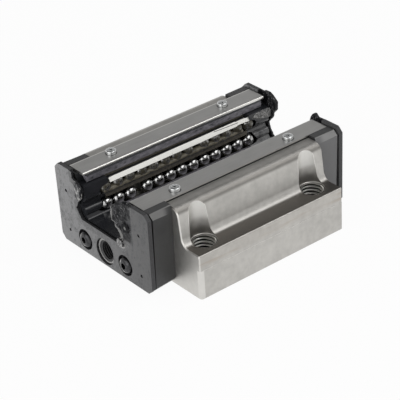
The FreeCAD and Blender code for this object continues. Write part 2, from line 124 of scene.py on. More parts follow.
# Free edges of the lips, as far as each has worn back.
WHOLE_EDGE = ((13.6, 29.6), (13.4, 27.7), (9.1, 26.1), (9.3, 21.7), (12.0, 18.3), (11.2, 15.8), (9.3, 13.4))
TORN_EDGE = ((14.9, 29.5), (14.9, 27.4), (13.9, 26.9), (12.9, 26.7), (11.6, 25.9), (10.8, 24.9),
             (10.9, 22.9), (11.4, 21.1), (12.7, 19.1), (13.9, 17.1), (12.9, 15.3), (11.4, 13.5))
LIP_EDGES = {"front": (TORN_EDGE, WHOLE_EDGE), "rear": (WHOLE_EDGE, WHOLE_EDGE)}
# Lobes that curl out over the seal plates: outline, rise out of the plate's face, its loss along x, lumps.
LIP_LOBES = {
    "front": (
        (((6.6, 26.4), (6.4, 23.2), (8.3, 20.0), (10.0, 17.9), (10.7, 16.9), (12.8, 16.7), (14.3, 17.6),
          (15.5, 19.3), (15.8, 23.9), (15.6, 29.2), (12.0, 29.7), (8.9, 28.4)), 0.95, 0.11, 1),
        (((11.0, 22.4), (10.9, 20.6), (12.4, 19.6), (14.2, 19.9), (14.8, 21.3), (13.9, 22.7), (12.2, 23.1)),
         0.55, 0, 0.3),
        (((7.6, 15.0), (8.7, 15.9), (10.9, 15.4), (10.9, 13.6), (9.2, 12.9), (8.1, 13.6)), 0.6, 0, 0.8),
        (((-13.9, 26.5), (-12.2, 26.3), (-11.0, 24.8), (-11.0, 22.0), (-12.0, 20.6), (-13.6, 20.3),
          (-14.2, 21.5), (-13.4, 23.5)), 0.3, 0, 0.5),
    ),
    "rear": (
        (((-16.0, 28.6), (-14.0, 29.7), (-11.8, 29.75), (-10.3, 29.0), (-8.0, 27.2), (-8.3, 24.1),
          (-10.6, 21.6), (-12.6, 22.6), (-15.4, 25.5)), 0.95, 0, 0.12),
        (((8.9, 26.4), (9.7, 28.7), (10.6, 30.0), (11.4, 30.1), (12.5, 29.1), (14.0, 28.7), (14.0, 26.2)),
         0.9, 0, 0.12),
    ),
}
# Rubber torn off the rear lip, (y, z), which sticks inside the end plate between two stations along x.
SHRED = ((31.2, 23.6), (33.0, 25.0), (35.8, 25.2), (39.2, 24.9), (40.1, 23.2), (39.8, 21.4), (37.7, 21.6),
         (34.6, 22.2))
SHRED_DEPTH = (-10.75, -10.2)
# Section (x, z) of the old grease along the inner side of the right upper ball row.
GREASE_BEAD = ((12.6, 21.4), (11.2, 21.4), (10.4, 21.1), (10.1, 20.5), (10.3, 19.9), (10.9, 19.3),
               (11.75, 19.0), (12.6, 19.0))


def number_maker(scale=1, **kind):
    """Maker of float properties of one kind, whose defaults are given times a scale."""
    return lambda name, description, default: FloatProperty(
        name=name, description=description, default=default * scale, **kind)


millimetres = number_maker(MM, unit="LENGTH", subtype="DISTANCE", precision=6)
degrees = number_maker(math.pi / 180, subtype="ANGLE")
watts = number_maker(min=0, unit="POWER", subtype="POWER")
share = number_maker(min=0, max=1, subtype="FACTOR")


def paint(name, description, default):
    """Linear colour property."""
    return FloatVectorProperty(name=name, description=description, default=default, min=0, max=1, size=3,
                               subtype="COLOR")


class CarriageThreads(PropertyGroup):
    """Sizes of the inside threads."""

    flange: millimetres("Flange", "Thickness of the flanges that the mount threads go through", 16)
    mount_pitch: millimetres("Mount pitch", "Pitch of the threads in the flange holes", 1.25)
    mount_depth: millimetres("Mount depth", "Height of those threads' ridges", 0.62)
    port_pitch: millimetres("Port pitch", "Pitch of the thread in a grease port", 0.75)
    port_depth: millimetres("Port depth", "Height of that thread's ridge", 0.4)
    port_run_out: millimetres("Port run-out", "Plain bottom of a grease port under its thread", 0.3)
    steps: IntProperty(name="Steps", description="Segments in one turn of a thread", default=40, min=12)


class CarriageScrews(PropertyGroup):
    """Sizes of the screw heads."""

    socket_across: millimetres("Socket across flats", "Hexagon socket of an end screw", 2.0)
    socket_depth: millimetres("Socket depth", "Depth of that socket", 1.5)
    end_head_height: millimetres("End head height", "Height of an end screw's head", 2.9)
    end_growth: millimetres("End head growth", "How much wider an end screw's head is than its node", 0.4)
    end_sink: millimetres("End sink", "How far an end screw's head sits under its node", 0.25)
    end_shank: millimetres("End shank", "Diameter of an end screw's shank", 2.9)
    end_dome: millimetres("End head dome", "Rounding of an end screw's head", 1.4)
    strip_shank: millimetres("Strip shank", "Diameter of a strip screw's shank", 1.9)
    strip_dome: millimetres("Strip head dome", "Rounding of a strip screw's head", 0.45)
    recess_length: millimetres("Recess length", "Length of a cross recess's arms, tip to tip", 2.1)
    recess_width: millimetres("Recess width", "Width of those arms", 0.5)
    recess_depth: millimetres("Recess depth", "Depth of the cross recess", 0.8)


class CarriageSeals(PropertyGroup):
    """Wear of the seal lips and the ball retainers."""

    voxel: millimetres("Voxel", "Grain of the swollen lobes", 0.13)
    lip_depth: millimetres("Lip depth", "Thickness of a lip behind its seal plate's face", 0.7)
    lip_rise: millimetres("Lip rise", "How far a lip stands out of its seal plate's face", 0.03)
    fray_step: millimetres("Fray step", "Length of one ragged bit of a lip's edge", 0.35)
    fray_height: millimetres("Fray height", "How far the edge wanders", 0.3)
    lump_size: millimetres("Lump size", "Size of the swells in a lobe", 1.8)
    lump_height: millimetres("Lump height", "Height of those swells", 1.0)
    grease_voxel: millimetres("Grease voxel", "Grain of the grease beads", 0.25)
    grease_front: millimetres("Grease front", "How far a grease bead reaches to the front", 31.5)
    grease_rear: millimetres("Grease rear", "How far a grease bead reaches to the rear", 27)
    retainer_wall: millimetres("Retainer wall", "Thickness of a ball retainer's upright band", 0.55)
    retainer_web: millimetres("Retainer web", "Inset of its web from the band's edges", 0.65)
    retainer_slant: millimetres("Retainer slant", "How far a band's top leans back", 1.2)
    retainer_round: millimetres("Retainer round", "Rounding of the band's edges", 0.2)
    retainer_wander: millimetres("Retainer wander", "How far a ball retainer wanders", 0.2)
    retainer_front: millimetres("Retainer front", "Wear at a ball retainer's front end", 0.85)
    retainer_rod: millimetres("Retainer rod", "Length of its narrow rear end", 5.5)
    band_front: share("Band front", "Height of a worn band's front end against the whole one", 0.62)
    band_rear: share("Band rear", "Height of a worn band from its middle on", 0.74)
    rod_share: share("Rod share", "Height of the narrow end against the band's", 0.72)


class CarriageFinishes(PropertyGroup):
    """Colours and gloss of the finishes."""

    steel: paint("Ground steel", "Block", (0.50, 0.488, 0.463))
    steel_gloss: share("Ground steel roughness", "Block", 0.46)
    # Painted shade: the block's level faces, the rounding along its top and the lower parts of the mount
    # pockets are darkened towards this colour.
    oiled_steel: paint("Oiled steel", "Level faces, which hold old oil", (0.155, 0.145, 0.132))
    streak: paint("Streaks", "Brown streaks on the unground flange edges", (0.40, 0.345, 0.29))
    grease: paint("Grease", "Brown grease in the rail channel", (0.125, 0.112, 0.080))
    moulding: paint("Moulding", "End plates and return guides", (0.029, 0.029, 0.030))
    # Painted light: faces of the seal plates and lips that look along Y take the seal grey and their other
    # faces the darker seal edge colour, as lit faces and shaded edges of one plastic. The seal grey also
    # paints a reflection on the rear end plates' sides, and the seal edge colour is also a dark tone in the
    # lips' folds.
    seal: paint("Seal", "Faces of the seal plates", (0.150, 0.150, 0.152))
    seal_edge: paint("Seal edge", "Edges of the seal plates", (0.025, 0.025, 0.027))
    # The dark of the greasy lips, also used for grease, smudges and specks, and for painted shade: in thread
    # roots, beside and under the side strips, round the strip screws' heads and in their cross recesses, and
    # on the grease beads' lower side.
    lip: paint("Lip", "Greasy seal lips", (0.020, 0.021, 0.024))
    strip: paint("Strip", "Side seal strips", (0.475, 0.47, 0.458))
    wall: paint("Wall rubber", "Rubber under the strips", (0.182, 0.176, 0.196))
    resin: paint("Resin", "Ball retainers", (1.0, 0.99, 0.94))
    ball: paint("Ball", "Balls", (0.40, 0.40, 0.395))
    zinc: paint("Zinc", "Strip screws", (0.62, 0.63, 0.63))
    dark_screw: paint("Dark screw", "End screws", (0.055, 0.055, 0.057))
    # Pale colour of painted highlights: the block's corner chamfers, flange ends, pocket tops and thread
    # crests, the strips' edges and the end screws' heads.
    rubbed: paint("Rubbed", "Rubbed edges of strips and screws", (0.78, 0.77, 0.74))


class CarriageStage(PropertyGroup):
    """Camera and light of the photograph."""

    camera_place: FloatVectorProperty(name="Camera place", description="Where the camera stands", size=3,
                                      default=(0.34161, -0.26374, 0.26458), unit="LENGTH",
                                      subtype="TRANSLATION")
    azimuth: degrees("Azimuth", "Turn of the camera round the carriage", 52.461)
    elevation: degrees("Elevation", "Height of the camera over the horizon", 30.645)
    roll: degrees("Roll", "Tilt of the picture", -3.542)
    lens: FloatProperty(name="Lens", description="Focal length in millimetres", default=137.19)
    lamp_distance: millimetres("Lamp distance", "From the carriage to each softbox", 900)
    front_power: watts("Front softbox", "Power of the front softbox", 4.0)
    side_power: watts("Side softbox", "Power of the side softbox", 3.2)
    ceiling: share("Ceiling", "Brightness of the studio over the backdrop", 0.12)
    floor: paint("Floor", "Floor in the light of the softboxes", (0.86, 0.86, 0.86))
    floor_glow: share("Floor glow", "How much of the floor's white shows without any shadow", 0.95)


def deselect():
    """Leaves nothing selected, the CAD nodes among it."""
    bpy.ops.object.select_all(action="DESELECT")


def choose(piece):
    """Makes a piece the only selected object."""
    deselect()
    piece.select_set(True)
    bpy.context.view_layer.objects.active = piece


def start(name, add, **settings):
    """Adds a primitive and names it."""
    deselect()
    add(**settings)
    piece = bpy.context.active_object
    piece.name = piece.data.name = name
    return piece


def apply_place(piece):
    """Moves a piece's place, turn and scale into its mesh."""
    choose(piece)
    bpy.ops.object.transform_apply(location=True, rotation=True, scale=True)


@contextmanager
def editing(piece):
    """Edit mode on one piece, with nothing selected in it."""
    choose(piece)
    bpy.ops.object.mode_set(mode="EDIT")
    bpy.ops.mesh.select_all(action="DESELECT")
    yield
    bpy.ops.object.mode_set(mode="OBJECT")


def pick(piece, kind, test):
    """Selects the verts, edges or faces that pass a test."""
    bpy.ops.mesh.select_mode(type={"verts": "VERT", "edges": "EDGE", "faces": "FACE"}[kind])
    bpy.ops.mesh.select_all(action="DESELECT")
    mesh = bmesh.from_edit_mesh(piece.data)
    for element in [element for element in getattr(mesh, kind) if test(element)]:
        element.select_set(True)
    bmesh.update_edit_mesh(piece.data)


def modify(piece, kind, **settings):
    """Adds a modifier and applies it."""
    modifier = piece.modifiers.new(kind.lower(), kind)
    for key, value in settings.items():
        setattr(modifier, key, value)
    choose(piece)
    bpy.ops.object.modifier_apply(modifier=modifier.name)


def discard(piece):
    """Removes a helper object and its mesh."""
    bpy.data.meshes.remove(piece.data)


def placed_copy(model, name, matrix):
    """Copy of a model with its own mesh, put in place."""
    choose(model)
    bpy.ops.object.duplicate(linked=False)
    piece = bpy.context.active_object
    piece.name = piece.data.name = name
    piece.matrix_world = matrix
    apply_place(piece)
    return piece


def joined(name, pieces):
    """One piece out of several."""
    deselect()
    for piece in pieces:
        piece.select_set(True)
    bpy.context.view_layer.objects.active = pieces[0]
    bpy.ops.object.join()
    piece = bpy.context.active_object
    piece.name = piece.data.name = name
    return piece


def face_outwards(piece):
    """Merges doubles and turns every face outwards."""
    with editing(piece):
        bpy.ops.mesh.select_all(action="SELECT")
        bpy.ops.mesh.remove_doubles(threshold=MERGE_DISTANCE)
        bpy.ops.mesh.normals_make_consistent(inside=False)


def hand_over(piece, slot, *stands_for, smooth_angle=35):
    """Shades a finished piece, ties it to the carriage and its finish, and hides the nodes it stands for."""
    choose(piece)
    bpy.ops.object.shade_smooth_by_angle(angle=math.radians(smooth_angle))
    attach(piece, BODY)
    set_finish(piece, slot)
    if stands_for:
        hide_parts(*stands_for)


def thread_model(name, radius, depth, pitch, length, steps):
    """Ridge of an inside thread, from the origin up, with its ends cut square."""
    root_share = 0.875
    crest_share = 0.3
    bite = 0.05 * MM
    middle = radius - (depth - bite) / 2
    tooth = start(name, bpy.ops.mesh.primitive_plane_add, size=1, rotation=(math.pi / 2, 0, 0),
                  location=(middle, 0, -pitch))
    tooth.scale = (depth + bite, pitch * root_share, 1)
    apply_place(tooth)
    with editing(tooth):
        pick(tooth, "verts", lambda vert: vert.co.x < middle)
        bpy.ops.transform.resize(value=(1, 1, crest_share), center_override=(middle, 0, -pitch))
        bpy.ops.mesh.select_all(action="SELECT")
        bpy.ops.mesh.delete(type="ONLY_FACE")
    modify(tooth, "SCREW", axis="Z", screw_offset=pitch, iterations=math.ceil(length / pitch) + 2,
           steps=steps, render_steps=steps)
    with editing(tooth):
        for height, upward in ((0, -1), (length, 1)):
            bpy.ops.mesh.select_all(action="SELECT")
            bpy.ops.mesh.bisect(plane_co=(0, 0, height), plane_no=(0, 0, upward), use_fill=True,
                                clear_outer=True, threshold=CUT_TOLERANCE)
    face_outwards(tooth)
    return tooth


def headed_screw(name, head_radius, head_height, dome, shank, length):
    """Screw blank that hangs down from the origin, with a domed head."""
    screw = start(name, bpy.ops.mesh.primitive_cylinder_add, vertices=HEAD_SIDES, radius=head_radius,
                  depth=head_height, location=(0, 0, -head_height / 2))
    apply_place(screw)
    with editing(screw):
        pick(screw, "faces", lambda face: face.normal.z < -FACING)
        bpy.ops.mesh.inset(thickness=head_radius - shank / 2)
        bpy.ops.mesh.extrude_region_move(TRANSFORM_OT_translate={"value": (0, 0, head_height - length)})
        pick(screw, "edges", lambda edge: all(vert.co.z > -MERGE_DISTANCE for vert in edge.verts))
        bpy.ops.mesh.bevel(offset=dome, segments=DOME_SEGMENTS, affect="EDGES")
    return screw


def carve(piece, cutter):
    """Cuts one closed mesh out of another and drops the cutter."""
    modify(piece, "BOOLEAN", operation="DIFFERENCE", solver="EXACT", object=cutter)
    discard(cutter)


def socket_screw_model(name, settings, head_radius, length):
    """End screw with a hexagon socket, its head's top at the origin."""
    screw = headed_screw(name, head_radius, settings.end_head_height, settings.end_dome, settings.end_shank,
                         length)
    corner_radius = settings.socket_across / 2 / math.cos(math.pi / 6)
    carve(screw, start("socket_cutter", bpy.ops.mesh.primitive_cylinder_add, vertices=6, radius=corner_radius,
                       depth=2 * settings.socket_depth))
    return screw


def pan_screw_model(name, settings, head_radius, head_height, length):
    """Strip screw with a cross recess, its head's top at the origin."""
    screw = headed_screw(name, head_radius, head_height, settings.strip_dome, settings.strip_shank, length)
    taper = 0.35
    for turn in (0, math.pi / 2):
        cutter = start("recess_cutter", bpy.ops.mesh.primitive_cube_add, size=1, rotation=(0, 0, turn))
        cutter.scale = (settings.recess_length, settings.recess_width, 2 * settings.recess_depth)
        apply_place(cutter)
        with editing(cutter):
            pick(cutter, "faces", lambda face: face.normal.z < -FACING)
            bpy.ops.transform.resize(value=(taper, taper, 1), center_override=(0, 0, 0))
        carve(screw, cutter)
    return screw


def screw_pair(model, name, places, slot, node):
    """Two copies of a screw model, joined to stand for a node; drops the model."""
    pair = [placed_copy(model, name, place) for place in places]
    hand_over(joined(name, pair), slot, node)
    discard(model)


def patch(name, corners, near, far):
    """Plate with an outline of (x, z) corners in millimetres, between two stations along Y."""
    piece = start(name, bpy.ops.mesh.primitive_circle_add, vertices=len(corners), radius=MM, fill_type="NGON")
    with editing(piece):
        mesh = bmesh.from_edit_mesh(piece.data)
        for vert, (x, z) in zip(mesh.verts, corners):
            vert.co = (x * MM, near, z * MM)
        bmesh.update_edit_mesh(piece.data)
        bpy.ops.mesh.select_all(action="SELECT")
        bpy.ops.mesh.extrude_region_move(TRANSFORM_OT_translate={"value": (0, far - near, 0)})
    face_outwards(piece)
    return piece


def swell(piece, voxel, size, height):
    """Remeshes a piece to a fine grain and raises soft lumps on it."""
    modify(piece, "REMESH", mode="VOXEL", voxel_size=voxel)
    clouds = bpy.data.textures.new(piece.name, "CLOUDS")
    clouds.noise_scale = size
    clouds.noise_depth = 1
    modify(piece, "DISPLACE", texture=clouds, texture_coords="LOCAL", strength=height, mid_level=0.5)
    modify(piece, "SMOOTH", factor=0.5, iterations=8)


def frayed(corners, step, height):
    """Polyline cut into short steps that wander to both sides, in millimetres."""
    worn = []
    for (x, z), (next_x, next_z) in zip(corners, corners[1:]):
        count = max(1, round(math.hypot(next_x - x, next_z - z) / step))
        for i in range(count):
            here = Vector((x + (next_x - x) * i / count, z + (next_z - z) * i / count, 0))
            drift = noise.noise_vector(here / (2 * step)) * height
            worn.append((here.x + drift.x, here.y + drift.y))
    return worn + [corners[-1]]


def worn_lip(end, settings):
    """Seal lip of one end: a thin frayed rim in the seal plate's opening, and lobes that curl out of it."""
    sign = ENDS[end]
    low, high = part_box(f"{end}_seal_lip")
    plate_low, plate_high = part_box(f"{end}_end_seal")
    face, most = (plate_low.y, low.y) if sign < 0 else (plate_high.y, high.y)
    back = face - sign * settings.lip_depth
    left, right = (frayed(edge, settings.fray_step / MM, settings.fray_height / MM)
                   for edge in LIP_EDGES[end])
    rim = [*LIP_SEAT, *((-x, z) for x, z in [*reversed(LIP_SEAT), *left]), *reversed(right)]
    pieces = [patch(f"{end}_worn_lip", rim, back, face + sign * settings.lip_rise)]
    for corners, rise, lean, lumps in LIP_LOBES[end]:
        lobe = patch(f"{end}_lip_lobe", corners, back, face + sign * rise * MM)
        swell(lobe, settings.voxel, settings.lump_size, settings.lump_height * lumps)
        edge = min(x for x, z in corners) * MM
        for vert in lobe.data.vertices:
            vert.co.y -= sign * lean * (vert.co.x - edge)
        pieces.append(lobe)
    if end == "rear":
        pieces.append(torn_shred(settings))
    lip = joined(f"{end}_worn_lip", pieces)
    top = CAD_BOX[1][2]
    for vert in lip.data.vertices:
        vert.co.y = min(vert.co.y, most) if sign > 0 else max(vert.co.y, most)
        vert.co.z = min(vert.co.z, top)
    hand_over(lip, "lip_rubber", f"{end}_seal_lip", smooth_angle=RUBBER_SMOOTHING)


def torn_shred(settings):
    """Rubber that has come off the rear lip and sticks to the inside of the end plate."""
    shred = patch("rear_lip_shred", SHRED, *(x * MM for x in SHRED_DEPTH))
    swell(shred, settings.voxel, settings.lump_size / 2, settings.lump_height / 2)
    for vert in shred.data.vertices:
        vert.co.x, vert.co.y = vert.co.y, vert.co.x
    face_outwards(shred)
    return shred


def wander(y, height, phase):
    """Sideways and upward drift of a ball retainer at a place along it."""
    return [height * noise.noise((phase, y / (wave * MM), row)) for row, wave in RETAINER_WAVES]


def runs_along(edge):
    """Whether an edge goes along Y."""
    return abs((edge.verts[0].co - edge.verts[1].co).y) > MM


def worn_retainer(side, settings):
    """Ball retainer: a thin upright band with a web onto the block's ledge, slightly wavy."""
    sign = SIDES[side]
    low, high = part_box(f"{side}_ball_retainer")
    low.y += settings.retainer_front
    wall = settings.retainer_wall
    height = high.z - low.z
    outer = height / 2.1
    length = high.y - low.y
    inner, ledge = (high.x, low.x) if sign < 0 else (low.x, high.x)
    centre = Vector((inner + sign * wall / 2, (low.y + high.y) / 2, low.z + height / 2))
    band = start(f"{side}_worn_retainer", bpy.ops.mesh.primitive_cube_add, size=1, location=centre)
    band.scale = (wall, length, height)
    apply_place(band)
    with editing(band):
        pick(band, "faces", lambda face: face.normal.x * sign > FACING)
        bpy.ops.mesh.inset(thickness=settings.retainer_web)
        bpy.ops.mesh.extrude_region_move(
            TRANSFORM_OT_translate={"value": (ledge - inner - sign * wall, 0, 0)})
        pick(band, "edges", lambda edge: runs_along(edge) and all(
            abs(vert.co.x - centre.x) < wall and abs(vert.co.z - centre.z) > outer for vert in edge.verts))
        bpy.ops.mesh.bevel(offset=settings.retainer_round, segments=BAND_SEGMENTS, affect="EDGES")
        pick(band, "edges", runs_along)
        bpy.ops.mesh.subdivide(number_cuts=BAND_CUTS)
    for vert in band.data.vertices:
        if side == "left" and vert.co.y > high.y - settings.retainer_rod:
            vert.co.z = centre.z + (vert.co.z - centre.z) * settings.rod_share
        held = min(1, abs(vert.co.x - inner) / (2 * wall))
        sideways, upward = wander(vert.co.y, settings.retainer_wander * (1 - held), sign)
        lean = settings.retainer_slant * (1 - held) * (vert.co.z - low.z) / height
        vert.co += Vector((sideways + sign * lean, 0, upward))
        grown = min(1, (vert.co.y - low.y) / (length / 2))
        worn = settings.band_front + (settings.band_rear - settings.band_front) * grown
        vert.co.z = low.z + (vert.co.z - low.z) * worn
    hand_over(band, "cream_resin", f"{side}_ball_retainer")


class CARRIAGE_OT_mount_threads(Operator):
    """Add the threads of the four flange holes"""

    bl_idname = "carriage.mount_threads"
    bl_label = "Mount Threads"

    def execute(self, context):
        settings = context.scene.carriage_threads
        sizes = MOUNTS["flange_bolts"]["dims"]
        mouth = MOUNTS["flange_bolts"]["pos_m"][2]
        model = thread_model("mount_thread_model", sizes["hole_r_mm"] * MM, settings.mount_depth,
                             settings.mount_pitch, settings.flange - 2 * mouth, settings.steps)
        for side, across in SIDES.items():
            for end, along in ENDS.items():
                place = Matrix.Translation((across * sizes["spacing_x_mm"] / 2 * MM,
                                            along * sizes["spacing_y_mm"] / 2 * MM, mouth))
                hand_over(placed_copy(model, f"{side}_{end}_mount_thread", place), "ground_steel")
        discard(model)
        return {"FINISHED"}


class CARRIAGE_OT_port_threads(Operator):
    """Add the threads of the two grease ports"""

    bl_idname = "carriage.port_threads"
    bl_label = "Port Threads"

    def execute(self, context):
        settings = context.scene.carriage_threads
        for end, along in ENDS.items():
            port = MOUNTS[f"{end}_grease_port"]
            length = port["dims"]["length_mm"] * MM
            model = thread_model("port_thread_model", port["dims"]["r_mm"] * MM, settings.port_depth,
                                 settings.port_pitch, length - settings.port_run_out, settings.steps)
            mouth = Vector(port["pos_m"]) + Vector((0, along * length / 2, 0))
            turn = Matrix.Rotation(along * math.pi / 2, 4, "X")
            thread = placed_copy(model, f"{end}_port_thread", Matrix.Translation(mouth) @ turn)
            hand_over(thread, "dark_moulding")
            discard(model)
        return {"FINISHED"}


class CARRIAGE_OT_end_screws(Operator):
    """Add the socket screws that hold the end plates"""

    bl_idname = "carriage.end_screws"
    bl_label = "End Screws"

    def execute(self, context):
        settings = context.scene.carriage_screws
        for end, along in ENDS.items():
            low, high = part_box(f"{end}_end_screws")
            head_radius = (high.z - low.z) / 2
            model = socket_screw_model("end_screw_model", settings, head_radius + settings.end_growth / 2,
                                       high.y - low.y - settings.end_sink)
            face_y = (high.y if along > 0 else low.y) - along * settings.end_sink
            turn = Matrix.Rotation(-along * math.pi / 2, 4, "X")
            middle_z = (low.z + high.z) / 2
            places = [Matrix.Translation((across * (high.x - head_radius), face_y, middle_z)) @ turn
                      for across in SIDES.values()]
            screw_pair(model, f"{end}_socket_screws", places, "dark_screw", f"{end}_end_screws")
        return {"FINISHED"}


class CARRIAGE_OT_strip_screws(Operator):
    """Add the small recessed screws of the side seal strips"""

    bl_idname = "carriage.strip_screws"
    bl_label = "Strip Screws"

    def execute(self, context):
        settings = context.scene.carriage_screws
        for side in SIDES:
            low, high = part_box(f"{side}_strip_screws")
            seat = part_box(f"{side}_seal_strip")[1].z
            head_radius = (high.x - low.x) / 2
            model = pan_screw_model("strip_screw_model", settings, head_radius, high.z - seat, high.z - low.z)
            places = [Matrix.Translation(((low.x + high.x) / 2, along * (high.y - head_radius), high.z))
                      @ Matrix.Rotation(math.radians(RECESS_TURNS[end]), 4, "Z")
                      for end, along in ENDS.items()]
            screw_pair(model, f"{side}_pan_screws", places, "bright_screw", f"{side}_strip_screws")
        return {"FINISHED"}


class CARRIAGE_OT_seal_lips(Operator):
    """Add the worn rubber lips of both end seals"""

    bl_idname = "carriage.seal_lips"
    bl_label = "Seal Lips"

    def execute(self, context):
        noise.seed_set(FRAY_SEED)
        for end in ENDS:
            worn_lip(end, context.scene.carriage_seals)
        return {"FINISHED"}


class CARRIAGE_OT_ball_retainers(Operator):
    """Add the wavy cream bands that hold the upper ball rows"""

    bl_idname = "carriage.ball_retainers"
    bl_label = "Ball Retainers"

    def execute(self, context):
        for side in SIDES:
            worn_retainer(side, context.scene.carriage_seals)
        return {"FINISHED"}


class CARRIAGE_OT_grease_beads(Operator):
    """Add the old grease along the upper ball rows"""

    bl_idname = "carriage.grease_beads"
    bl_label = "Grease Beads"

    def execute(self, context):
        settings = context.scene.carriage_seals
        for side, across in SIDES.items():
            corners = [(across * x, z) for x, z in GREASE_BEAD]
            bead = patch(f"{side}_grease_bead", corners, -settings.grease_front, settings.grease_rear)
            swell(bead, settings.grease_voxel, settings.lump_size / 2, settings.lump_height / 2)
            hand_over(bead, "ground_steel", smooth_angle=RUBBER_SMOOTHING)
        return {"FINISHED"}


def both_ways(operation):
    """Operator of a Signal, and its reflected form."""
    return (lambda self, other: self.math(operation, self, other),
            lambda self, other: self.math(operation, other, self))


class Signal:
    """Output socket of a node; arithmetic on it adds Math nodes."""

    __add__, __radd__ = both_ways("ADD")
    __sub__, __rsub__ = both_ways("SUBTRACT")
    __mul__, __rmul__ = both_ways("MULTIPLY")

    def __init__(self, nodes, socket):
        self.nodes = nodes
        self.socket = socket

    def __abs__(self):
        return self.math("ABSOLUTE", self)

    def math(self, operation, *terms):
        """Math node on some terms."""
        return self.nodes.add("Math", {"operation": operation}, dict(enumerate(terms)))

    def ramp(self, low, high):
        """Smooth step from 0 at low to 1 at high; high may be the smaller."""
        if high < low:
            return 1 - self.ramp(high, low)
        return self.nodes.add("MapRange", {"interpolation_type": "SMOOTHSTEP"},
                              {"Value": self, "From Min": low, "From Max": high})

    def within(self, low, high, soft):
        """1 between two bounds, fading to 0 over a softness outside them."""
        return self.ramp(low - soft, low) * self.ramp(high + soft, high)


class Nodes:
    """Node tree in the making."""

    def __init__(self, tree):
        self.tree = tree

    def add(self, kind, settings=None, inputs=None, output=0):
        """New shader node: its settings first, then its sockets' values or links."""
        node = self.tree.nodes.new(f"ShaderNode{kind}")
        for key, value in (settings or {}).items():
            setattr(node, key, value)
        for key, value in (inputs or {}).items():
            self.feed(node.inputs[key], value)
        return Signal(self, node.outputs[output])

    def feed(self, socket, value):
        """Links a signal to a socket, or sets the socket's value."""
        if isinstance(value, Signal):
            self.tree.links.new(value.socket, socket)
        else:
            socket.default_value = value

    def parts(self, vector):
        """The three numbers of a vector."""
        node = self.add("SeparateXYZ", inputs={0: vector}).socket.node
        return [Signal(self, socket) for socket in node.outputs]

    def ray(self, *kinds):
        """1 where a ray is of one of the kinds, such as Camera or Glossy."""
        found = [self.add("LightPath", output=f"Is {kind} Ray") for kind in kinds]
        return sum(found[1:], found[0]).ramp(0, 1)


def scaled(values, times):
    """Each value, such as a colour's, times a number."""
    return [times * value for value in values]


class Finish(Nodes):
    """Material in the making, on its piece's Object coordinates in millimetres."""

    def __init__(self, name):
        self.material = bpy.data.materials.new(name)
        self.material.use_nodes = True
        super().__init__(self.material.node_tree)
        self.shader = self.tree.nodes["Principled BSDF"]
        place = self.add("TexCoord", output="Object")
        self.place = self.add("VectorMath", {"operation": "SCALE"}, {"Vector": place, "Scale": 1 / MM})
        self.axes = self.x, self.y, self.z = self.parts(self.place)

    def set(self, name, value):
        """Feeds a socket of the material's shader."""
        if name == "Base Color" and not isinstance(value, Signal):
            value = (*value, 1)
        self.feed(self.shader.inputs[name], value)

    def done(self, colour, roughness, relief=None, depth=0):
        """Feeds colour, roughness and relief, to a depth in millimetres; returns the material."""
        self.set("Base Color", colour)
        self.set("Roughness", roughness)
        if relief:
            self.set("Normal", self.add("Bump", {}, {"Distance": depth * MM, "Height": relief}))
        return self.material

    def facing(self):
        """The surface normal's three numbers."""
        return self.parts(self.add("NewGeometry", output="Normal"))

    def front(self):
        """1 on the front half."""
        return self.y.ramp(0, -1)

    def channel(self, side, floor):
        """1 in the rail channel, with a softness at its sides and one at its floor."""
        return (abs(self.x).ramp(CHANNEL_SIDE + side, CHANNEL_SIDE)
                * self.z.ramp(CHANNEL_FLOOR - floor, CHANNEL_FLOOR + floor))

    @staticmethod
    def span(first, second):
        """Length of two offsets at right angles."""
        return first.math("SQRT", first * first + second * second)

    def reach(self, x, z):
        """Distance from a line along Y, in millimetres."""
        return self.span(self.x - x, self.z - z)

    def spread(self, x, y):
        """Distance from the nearest of four upright lines, at plus and minus x and y, in millimetres."""
        return self.span(abs(self.x) - x, abs(self.y) - y)

    def noise(self, size, stretch=(1, 1, 1), detail=4, roughness=0.55):
        """Noise with features of a size in millimetres, stretched along the axes."""
        place = self.add("Mapping", {"vector_type": "TEXTURE"},
                         {"Vector": self.place, "Scale": scaled(stretch, size)})
        return self.add("TexNoise", {}, {"Vector": place, "Scale": 1, "Detail": detail,
                                         "Roughness": roughness})

    def mix(self, amount, first, second):
        """Colour between two, each a colour or a Signal."""
        first, second = [value if isinstance(value, Signal) else (*value, 1) for value in (first, second)]
        return self.add("Mix", {"data_type": "RGBA"}, {0: amount, 6: first, 7: second}, 2)

    def layers(self, colour, *coats):
        """Colour under coats, each an amount and a colour."""
        for amount, coat in coats:
            colour = self.mix(amount, colour, coat)
        return colour

    def tint(self, base, light, amount):
        """Colour made lighter or darker by a signal around a half."""
        bright = [min(1, value) for value in scaled(base, 1 + amount)]
        return self.mix(light.ramp(0.25, 0.75), scaled(base, 1 - amount), bright)


